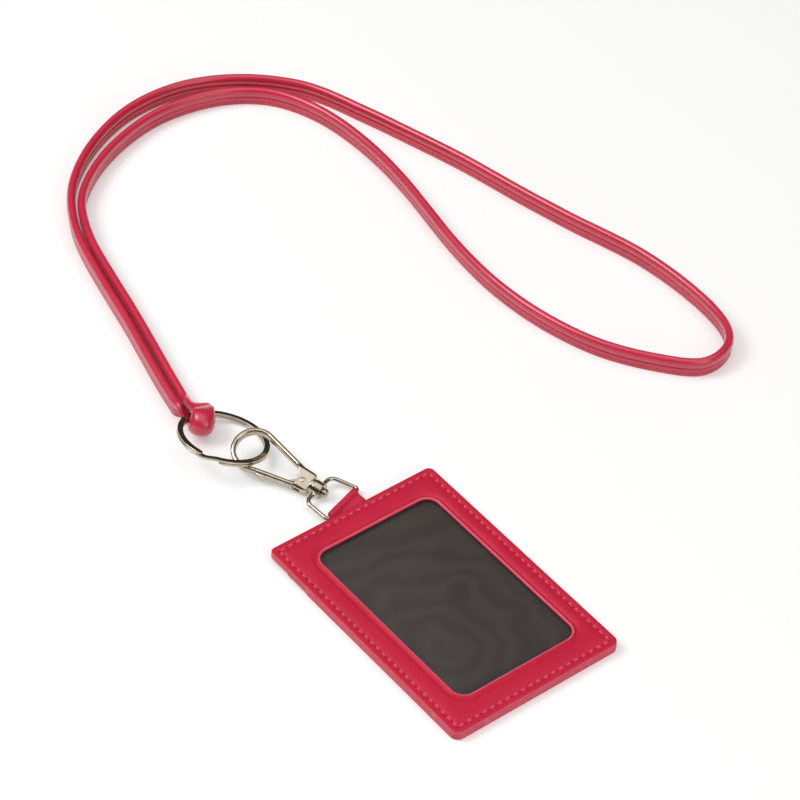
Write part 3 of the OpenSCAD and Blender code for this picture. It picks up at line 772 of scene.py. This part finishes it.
def seam_marks(corners, pitch, shift, height, out):
    """Evenly spaced places along straight runs from corner to corner. The shift is
    0 for the needle's holes and a half for the stitches between them."""
    marks = []
    for (ax, ay), (bx, by) in zip(corners, corners[1:]):
        a, b = Vector((ax, ay, height)), Vector((bx, by, height))
        count = max(1, round((b - a).length / pitch))
        for i in range(count + (shift == 0)):
            t = (i + shift) / count
            marks.append((a.lerp(b, t), (b - a).normalized(), out))
    return marks


UP, DOWN = Vector((0, 0, 1)), Vector((0, 0, -1))
seam_x, seam_low, seam_high = (
    WALLET_W / 2 - SEAM_IN, -WALLET_L / 2 + SEAM_IN, WALLET_L / 2 - SEAM_IN)
front_corners = [
    (seam_x, seam_high), (-seam_x, seam_high), (-seam_x, seam_low),
    (seam_x, seam_low), (seam_x, seam_high)]
wallet_thread = sewing_thread("wallet_thread", THREAD_PINK)
front_seam = sewn(
    "front_seam", seam_marks(front_corners, WALLET_PITCH, 0.5, 3.97, UP),
    length=1.9, radius=0.6, sink=0.38, finish=wallet_thread, body="wallet")
# Dark marks at the needle holes: painted shade
front_hole_shades = sewn(
    "front_seam_hole_shades", seam_marks(front_corners, WALLET_PITCH, 0, 3.7, UP),
    length=0.8, radius=0.26, sink=0, finish=hole_shade, body="wallet")

def strip_rings(section):
    """A strip along the sides and the foot, which leaves the mouth open."""
    lengths = ARC_STEPS + SIDE_STEPS
    order = list(range(2 * lengths, 4 * lengths)) + list(range(lengths + ARC_STEPS + 1))
    loops = [(wallet_loop(inset), height) for inset, height in section]
    columns = [[Vector((*loop[i], height)) for loop, height in loops] for i in order]

    def mouth_column(side, share):
        """A station past the corner; at share 1 it meets the pocket's side wall."""
        wall = side * (WALLET_W / 2 - HEM_WIDE)
        outer = wall + side * (HEM_WIDE - MOUTH_R) * (1 - share)
        deep = HEM_WIDE * (1 - SIDE_WALL * share)
        return [Vector((outer + (wall - outer) * inset / HEM_WIDE,
                        WALLET_L / 2 - deep * inset / HEM_WIDE, height))
                for inset, height in section]

    return ([mouth_column(-1, share) for share in (1, 0.66, 0.33)] + columns
            + [mouth_column(1, share) for share in (0.33, 0.66, 1)])


# The hem's side takes the same pale pink: painted light, as if lit from the front
hem = skinned("hem_leather", strip_rings([
    (HEM_WIDE, 2.37), (0.5, 2.37), (0.1, 2.38), (0, 2.45), (-0.04, 2.9), (0, 3.34),
    (0.08, 3.4), (0.5, 3.41), (HEM_WIDE, 3.41)]), edge_highlight, "wallet")
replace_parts(hem, "front_panel")

# ---- Window ------------------------------------------------------------------
# A sheet of clear film is glued in behind the window. Behind the empty pocket
# lies the dark lining, a thin grey-brown sheet with faint marbled swirls.
FILM_LAP, FILM_LOW, FILM_HIGH = 4, 3.2, 3.38
HEM_IN = 8.05
LINING, LINING_LIGHT = (0.088, 0.069, 0.058), (0.145, 0.118, 0.103)


def slab(name, loops, finish, body):
    """A closed sheet from loops that run from its underside to its top."""
    rings = [[Vector((*p, height)) for p in loop] for loop, height in loops]
    return skinned(name, rings, finish, body)


def clear_film():
    """Clear plastic, a little smoky and slightly wavy."""
    finish = Finish(
        "clear_film", Base_Color=(0.05, 0.048, 0.045), Alpha=0.2, IOR=1.45)
    waves = finish.cloud(21, 1, (1, 0.6, 1))
    finish.roughness(0.07 + waves * 0.05)
    finish.bump(waves, 0.5, 0.6)
    return finish.material


def marbled_lining():
    """Dark sheet with faint swirls under a fine weave."""
    finish = Finish("lining")
    bend = finish.node("VectorMath", {"operation": "MULTIPLY_ADD"}, {
        0: finish.node("TexNoise", sockets={
            "Vector": finish.place, "Scale": 45, "Detail": 1}, output="Color"),
        1: (0.03, 0.03, 0.03), 2: finish.place})
    swirls = finish.node("TexWave", {"wave_type": "RINGS", "rings_direction": "Z"}, {
        "Vector": bend, "Scale": 28, "Distortion": 4, "Detail": 2, "Detail Scale": 1.2})
    weave = finish.cloud(0.5, 2)
    finish.colour(finish.mixed(swirls * 0.45 + weave * 0.35, LINING, LINING_LIGHT))
    finish.roughness(0.6 + weave * 0.15)
    finish.bump(weave, 0.05)
    return finish.material


def film_loop():
    """The film's outline, cut off where the hem begins."""
    side, foot = WALLET_W / 2 - HEM_IN, HEM_IN - WALLET_L / 2
    return [(max(-side, min(side, x)), max(foot, y)) for x, y in window_loop(FILM_LAP)]


film = slab(
    "film_sheet", [(film_loop(), FILM_LOW), (film_loop(), FILM_HIGH)], clear_film(),
    "wallet")
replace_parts(film, "window_film")
lining = slab("lining_sheet", [
    (wallet_loop(0.1), 2.15), (wallet_loop(0.05), 2.2), (wallet_loop(0.05), 2.3),
    (wallet_loop(0.1), 2.35)], marbled_lining(), "wallet")
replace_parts(lining, "window_lining")

# ---- Back and card pockets ---------------------------------------------------
# Three sheets of the same leather on each other: the back, and two card pockets
# with open upper edges. Their edges are painted, and one seam holds them all.
UPPER_EDGE, LOWER_EDGE = 42.6, 31.5
# Each sheet's underside and top
BACK_Z, UPPER_Z, LOWER_Z = (1.2, 1.79), (0.6, 1.19), (0, 0.59)
POCKET_CORNER_R, POCKET_GRAIN_DEPTH = 0.4, 0.045
CREASE_DOWN, CREASE_WIDE = 1.5, 0.35
TAB_CLEAR = 8.4
BOARD_BROWN, BOARD_DEEP = (0.4, 0.33, 0.25), (0.26, 0.21, 0.15)
EDGE_PAINT, EDGE_WORN = (0.84, 0.09, 0.15), (0.88, 0.17, 0.24)
edge_paint = painted_edge("edge_paint", EDGE_PAINT, EDGE_WORN)


def card_sheet(name, node, high, sides, r_high, finish):
    """A sheet with rounded painted edges, and a dip where the seam pulls it."""
    low_z, high_z = sides
    section = [
        (5.5, low_z), (3.6, low_z + 0.01), (SEAM_IN, low_z + 0.12), (1.7, low_z + 0.01),
        (0.5, low_z), (0.14, low_z + 0.05), (0, low_z + 0.2), (0, high_z - 0.2),
        (0.14, high_z - 0.05), (0.5, high_z), (5.5, high_z)]
    rings = [
        [Vector((*p, z)) for p in wallet_loop(inset, high, r_high)]
        for inset, z in section]
    faces = skin_faces(len(rings), len(rings[0]))
    count = len(rings[0])
    slots = [1 if 5 <= f // count <= 7 else 0 for f in range(len(faces) - 2)] + [0, 0]
    made = made_piece(
        name, [p for ring in rings for p in ring], faces, [finish, edge_paint],
        "wallet", slots)
    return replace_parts(made, node)


def pocket_leather(name, edge):
    """The wallet's leather with a line pressed in along the pocket's open edge,
    darkened with painted shade.
    """
    return leather(
        name, RED, RED_DEEP, WALLET_GRAIN, POCKET_GRAIN_DEPTH, WALLET_SHINE,
        creases=[("Y", edge - CREASE_DOWN, CREASE_WIDE)])


upper_leather = pocket_leather("upper_pocket_leather", UPPER_EDGE)
lower_leather = pocket_leather("lower_pocket_leather", LOWER_EDGE)
back = card_sheet(
    "back_leather", "back_panel", WALLET_L / 2, BACK_Z, MOUTH_R, wallet_leather)
upper = card_sheet(
    "upper_pocket_sheet", "upper_card_pocket", UPPER_EDGE, UPPER_Z, POCKET_CORNER_R,
    upper_leather)
lower = card_sheet(
    "lower_pocket_sheet", "lower_card_pocket", LOWER_EDGE, LOWER_Z, POCKET_CORNER_R,
    lower_leather)


def back_marks(shift, sunk):
    """The seam as it shows on the back, one sheet deeper at each slot's edge."""
    steps = [
        (seam_high, UPPER_EDGE, BACK_Z[0]), (UPPER_EDGE, LOWER_EDGE, UPPER_Z[0]),
        (LOWER_EDGE, seam_low, LOWER_Z[0])]
    marks = []
    for side in (-seam_x, seam_x):
        for start, end, height in steps:
            marks += seam_marks(
                [(side, start - 0.4), (side, end + 0.4)], STITCH_PITCH, shift,
                height + sunk, DOWN)
    rows = [(seam_high, BACK_Z[0]), (seam_low, LOWER_Z[0])]
    for y, height in rows:
        marks += seam_marks(
            [(-seam_x, y), (seam_x, y)], STITCH_PITCH, shift, height + sunk, DOWN)
    return marks


back_seam = sewn(
    "back_seam", back_marks(0.5, 0.14), length=2.3, radius=0.16, sink=-0.1,
    finish=wallet_thread, body="wallet")
# Dark marks at the needle holes: painted shade
back_hole_shades = sewn(
    "back_seam_hole_shades", back_marks(0, 0.12), length=0.6, radius=0.15, sink=0,
    finish=hole_shade, body="wallet")


def stack_edge():
    """The stack's painted edge, where board and lining show as one filled line. It
    stops beside the tab."""
    lengths = ARC_STEPS + SIDE_STEPS
    section = [(0.9, 1.82), (0.02, 1.84), (-0.07, 1.95), (-0.1, 2.08), (-0.07, 2.22),
               (0.02, 2.33), (0.9, 2.34)]
    loops = [(wallet_loop(inset), height) for inset, height in section]
    start = lengths + ARC_STEPS
    mouth = range(start, start + SIDE_STEPS + 1)
    past_tab = [i for i in mouth if loops[0][0][i][0] < -TAB_CLEAR]
    before_tab = [i for i in mouth if loops[0][0][i][0] > TAB_CLEAR]
    order = list(range(past_tab[0], 4 * lengths)) + list(range(before_tab[-1] + 1))
    return [[Vector((*loop[i], height)) for loop, height in loops] for i in order]


band = skinned("stack_edge_paint", stack_edge(), edge_paint, "wallet")


def bare_board():
    """Pressed fibre board: dull brown with short fibres."""
    finish = Finish("stiffener_board")
    fibres = finish.cloud(1.2, 4, (1, 5, 1))
    finish.colour(finish.mixed(fibres, BOARD_BROWN, BOARD_DEEP))
    finish.roughness(0.8 + fibres * 0.1)
    finish.bump(fibres, 0.05)
    return finish.material


solids["stiffener_board"].data.materials.clear()
solids["stiffener_board"].data.materials.append(bare_board())

# ---- Tab ---------------------------------------------------------------------
# A tongue of the back's leather, folded round the D ring's bar and tucked in
# behind the lining. Two short columns of stitches run down its lower leaf.
TAB_HALF_TOP, TAB_HALF, FLARE_R, WIDE_FROM = 7.4, 8.1, 2, 56
TAB_TOP, TAB_TUCK, TAB_THICK = 62.4, 46, 0.6
LOOP_Z, LOOP_MID_R = 2, 1.2
ROOT_Z, LOWER_LEAF_Z, UPPER_LEAF_Z = 1.5, 0.8, 1.98
TAB_ROOT, FOLD_Y, FOLD_SLACK = 54.2, 60.9, 0.3
ROLL_DROP, ROLL_FALL, ROLL_FOOT = 1.22, 2.2, 53.9
STEP_DOWN = 2.2
TAB_RED = (0.7, 0.022, 0.07)
TAB_SEAM_X, TAB_SEAM_END = 6.2, 52.4
MOUTH = WALLET_L / 2


def tab_half(y, lower_leaf):
    """Half the tongue's width; its lower leaf flares out into the back."""
    slant = (TAB_HALF - TAB_HALF_TOP) / (TAB_TOP - WIDE_FROM)
    half = min(TAB_HALF_TOP + (TAB_TOP - y) * slant, TAB_HALF)
    if lower_leaf and y < MOUTH + FLARE_R:
        rise = max(0, MOUTH + FLARE_R - y)
        half += FLARE_R - math.sqrt(max(FLARE_R ** 2 - min(rise, FLARE_R) ** 2, 0))
    return half


def tab_path():
    """(y, height, thickness, is it the lower leaf) along the folded tongue."""
    path = [(TAB_TUCK, ROOT_Z, 0.55, False), (53.6, ROOT_Z, 0.58, True)]
    for i in range(11):
        t = i / 10
        height = ROOT_Z - (ROOT_Z - LOWER_LEAF_Z) * eased(t)
        path.append((MOUTH + STEP_DOWN * t, height, TAB_THICK, True))
    path += [(57.4 + 0.9 * i, LOWER_LEAF_Z, TAB_THICK, True) for i in range(4)]
    for i in range(13):
        a = math.radians(-90 + 15 * i)
        path.append((
            FOLD_Y + LOOP_MID_R * math.cos(a), LOOP_Z + LOOP_MID_R * math.sin(a),
            TAB_THICK, i < 6))
    for i in range(20):
        t = max(0, i - 10) / 9
        path.append((
            60.4 - 6.5 * i / 19, LOOP_Z + LOOP_MID_R - ROLL_DROP * eased(t),
            TAB_THICK - 0.25 * t, False))
    return path + [(TAB_TUCK, UPPER_LEAF_Z, 0.33, False)]


def bar_at(x):
    """How far up the D ring's bar lies there; it lies askew."""
    return BAR_PLACE.y + x * math.tan(math.radians(LAY_YAW))


def reach(x, y):
    """Where a place along the tongue comes to lie, as it is pulled tight round the
    D ring's bar."""
    heart = bar_at(x) + FOLD_SLACK
    if y >= FOLD_Y:
        return y + heart - FOLD_Y
    if y <= TAB_ROOT:
        return y
    return TAB_ROOT + (y - TAB_ROOT) * (heart - TAB_ROOT) / (FOLD_Y - TAB_ROOT)


def rolled(x, y):
    """The upper leaf's height at a pulled place: it rolls over the bar."""
    t = min(max((bar_at(x) - 0.2 - y) / ROLL_FALL, 0), 1)
    return LOOP_Z + LOOP_MID_R - ROLL_DROP * eased(t)


def tab_rings():
    """The tongue's sections, with 19 points across each face."""
    path, rings = tab_path(), []
    fold = max(range(len(path)), key=lambda i: path[i][0])
    shares = [1 - i / 9 for i in range(19)]
    for i, (y, z, thick, lower_leaf) in enumerate(path):
        before, after = path[max(i - 1, 0)], path[min(i + 1, len(path) - 1)]
        way = Vector((0, after[0] - before[0], after[1] - before[1])).normalized()
        out = Vector((0, way.z, -way.y))
        half = tab_half(y, lower_leaf)
        face = [share * (half - 0.15) for share in shares]
        side = [(half - 0.04, 0.3), (half, 0), (half - 0.04, -0.3)]
        section = [(x, 0.5) for x in face] + [(-x, n) for x, n in side]
        section += [(-x, -0.5) for x in face] + [(x, n) for x, n in reversed(side)]
        ring = []
        for x, n in section:
            at = reach(x, y)
            height = rolled(x, at) if i > fold + 6 and y > ROLL_FOOT else z
            ring.append(Vector((x, at, height)) + n * thick * out)
        rings.append(ring)
    return rings


tab_leather = leather(
    "tab_leather", TAB_RED, RED_DEEP, WALLET_GRAIN, grain_depth=0.03, shine=0.3)
tab = skinned("tab_tongue", tab_rings(), tab_leather, "wallet")
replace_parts(tab, "back_panel")
tab_columns = [
    [(x, bar_at(x) + 0.6), (x, TAB_SEAM_END)] for x in (-TAB_SEAM_X, TAB_SEAM_X)]


def tab_marks(shift, sunk):
    """Seam places on the lower leaf's underside, which steps down past the mouth."""
    marks = []
    for column in tab_columns:
        for middle, along, out in seam_marks(column, STITCH_PITCH, shift, 0, DOWN):
            pulled = (bar_at(middle.x) + FOLD_SLACK - TAB_ROOT) / (FOLD_Y - TAB_ROOT)
            t = min(max((middle.y - MOUTH) / STEP_DOWN / pulled, 0), 1)
            height = BACK_Z[0] - (ROOT_Z - LOWER_LEAF_Z) * eased(t) + sunk
            marks.append((Vector((middle.x, middle.y, height)), along, out))
    return marks


tab_seam = sewn(
    "tab_seam", tab_marks(0.5, 0.04), length=2.1, radius=0.16, sink=0.1,
    finish=wallet_thread, body="wallet")
# Dark marks at the needle holes: painted shade
tab_hole_shades = sewn(
    "tab_seam_hole_shades", tab_marks(0, 0.02), length=0.6, radius=0.15, sink=0,
    finish=hole_shade, body="wallet")

# ---- Table and light ---------------------------------------------------------
# A plain pale table that runs to white, one large soft lamp from the upper left,
# a weaker one from the front, and a dim room that is brightest overhead.
TABLE_HALF_M = 4
TABLE_SINK = 0.05
TABLE_PALE, TABLE_DULL = (0.8, 0.8, 0.79), (0.76, 0.76, 0.75)
TABLE_GLOW = 0.3
KEY_PLACE, KEY_SIZE, KEY_POWER = (-0.75, 0.75, 1.15), 0.7, 10.9
FILL_PLACE, FILL_SIZE, FILL_POWER = (0.1, -1.1, 0.7), 0.9, 5
# The room's grey from straight below, 0, to straight above, 1
ROOM_GREYS = [
    (0.0, 0.5), (0.5, 0.2), (0.58, 0.04), (0.81, 0.06), (0.9, 0.35), (0.96, 1.3)]


def table_finish():
    """Pale matte board, which glows a little for the camera and in reflections."""
    finish = Finish("table", Roughness=0.9, Specular_IOR_Level=0.1)
    tone = finish.cloud(400, 1)
    finish.colour(finish.mixed(tone * 0.03, TABLE_PALE, TABLE_DULL))
    path = finish.nodes.new("ShaderNodeLightPath").outputs
    seen = (Value(finish, path["Is Camera Ray"]) + Value(finish, path["Is Glossy Ray"])
            + Value(finish, path["Is Transmission Ray"]))
    glow = finish.node("Emission", sockets={"Color": (1, 1, 1), "Strength": TABLE_GLOW})
    both = finish.node("AddShader", sockets={
        0: Value(finish, finish.shader.outputs[0]), 1: glow})
    mix = finish.node("MixShader", sockets={
        0: seen.above(0, 1), 1: Value(finish, finish.shader.outputs[0]), 2: both})
    out = finish.nodes["Material Output"]
    finish.links.new(mix.socket, out.inputs["Surface"])
    return finish.material


def table_top():
    half = TABLE_HALF_M
    mesh = bpy.data.meshes.new("table")
    mesh.from_pydata(
        [(-half, -half, 0), (half, -half, 0), (half, half, 0), (-half, half, 0)],
        [], [(0, 1, 2, 3)])
    mesh.materials.append(table_finish())
    table = bpy.data.objects.new("table", mesh)
    table.location.z = -TABLE_SINK * MM
    bpy.context.collection.objects.link(table)


def soft_lamp(name, place, size, power):
    lamp = bpy.data.lights.new(name, "AREA")
    lamp.shape, lamp.size, lamp.energy = "SQUARE", size, power
    held = bpy.data.objects.new(name, lamp)
    held.location = place
    aim = VIEW_TARGET * MM - Vector(place)
    held.rotation_euler = aim.to_track_quat("-Z", "Y").to_euler()
    bpy.context.collection.objects.link(held)


def room_light():
    """A room that is dark near the horizon, which gives the metal its contrast."""
    world = bpy.data.worlds.new("room")
    world.use_nodes = True
    nodes, links = world.node_tree.nodes, world.node_tree.links
    way = nodes.new("ShaderNodeTexCoord")
    split = nodes.new("ShaderNodeSeparateXYZ")
    ramp = nodes.new("ShaderNodeValToRGB")
    while len(ramp.color_ramp.elements) < len(ROOM_GREYS):
        ramp.color_ramp.elements.new(0.5)
    for stop, (at, grey) in zip(ramp.color_ramp.elements, ROOM_GREYS):
        stop.position, stop.color = at, (grey, grey, grey, 1)
    half = nodes.new("ShaderNodeMath")
    half.operation = "MULTIPLY_ADD"
    half.inputs[1].default_value = half.inputs[2].default_value = 0.5
    links.new(way.outputs["Generated"], split.inputs[0])
    links.new(split.outputs["Z"], half.inputs[0])
    links.new(half.outputs[0], ramp.inputs[0])
    links.new(ramp.outputs[0], nodes["Background"].inputs["Color"])
    bpy.context.scene.world = world


table_top()
soft_lamp("key_lamp", KEY_PLACE, KEY_SIZE, KEY_POWER)
soft_lamp("fill_lamp", FILL_PLACE, FILL_SIZE, FILL_POWER)
room_light()
bpy.context.scene.view_settings.view_transform = "Standard"
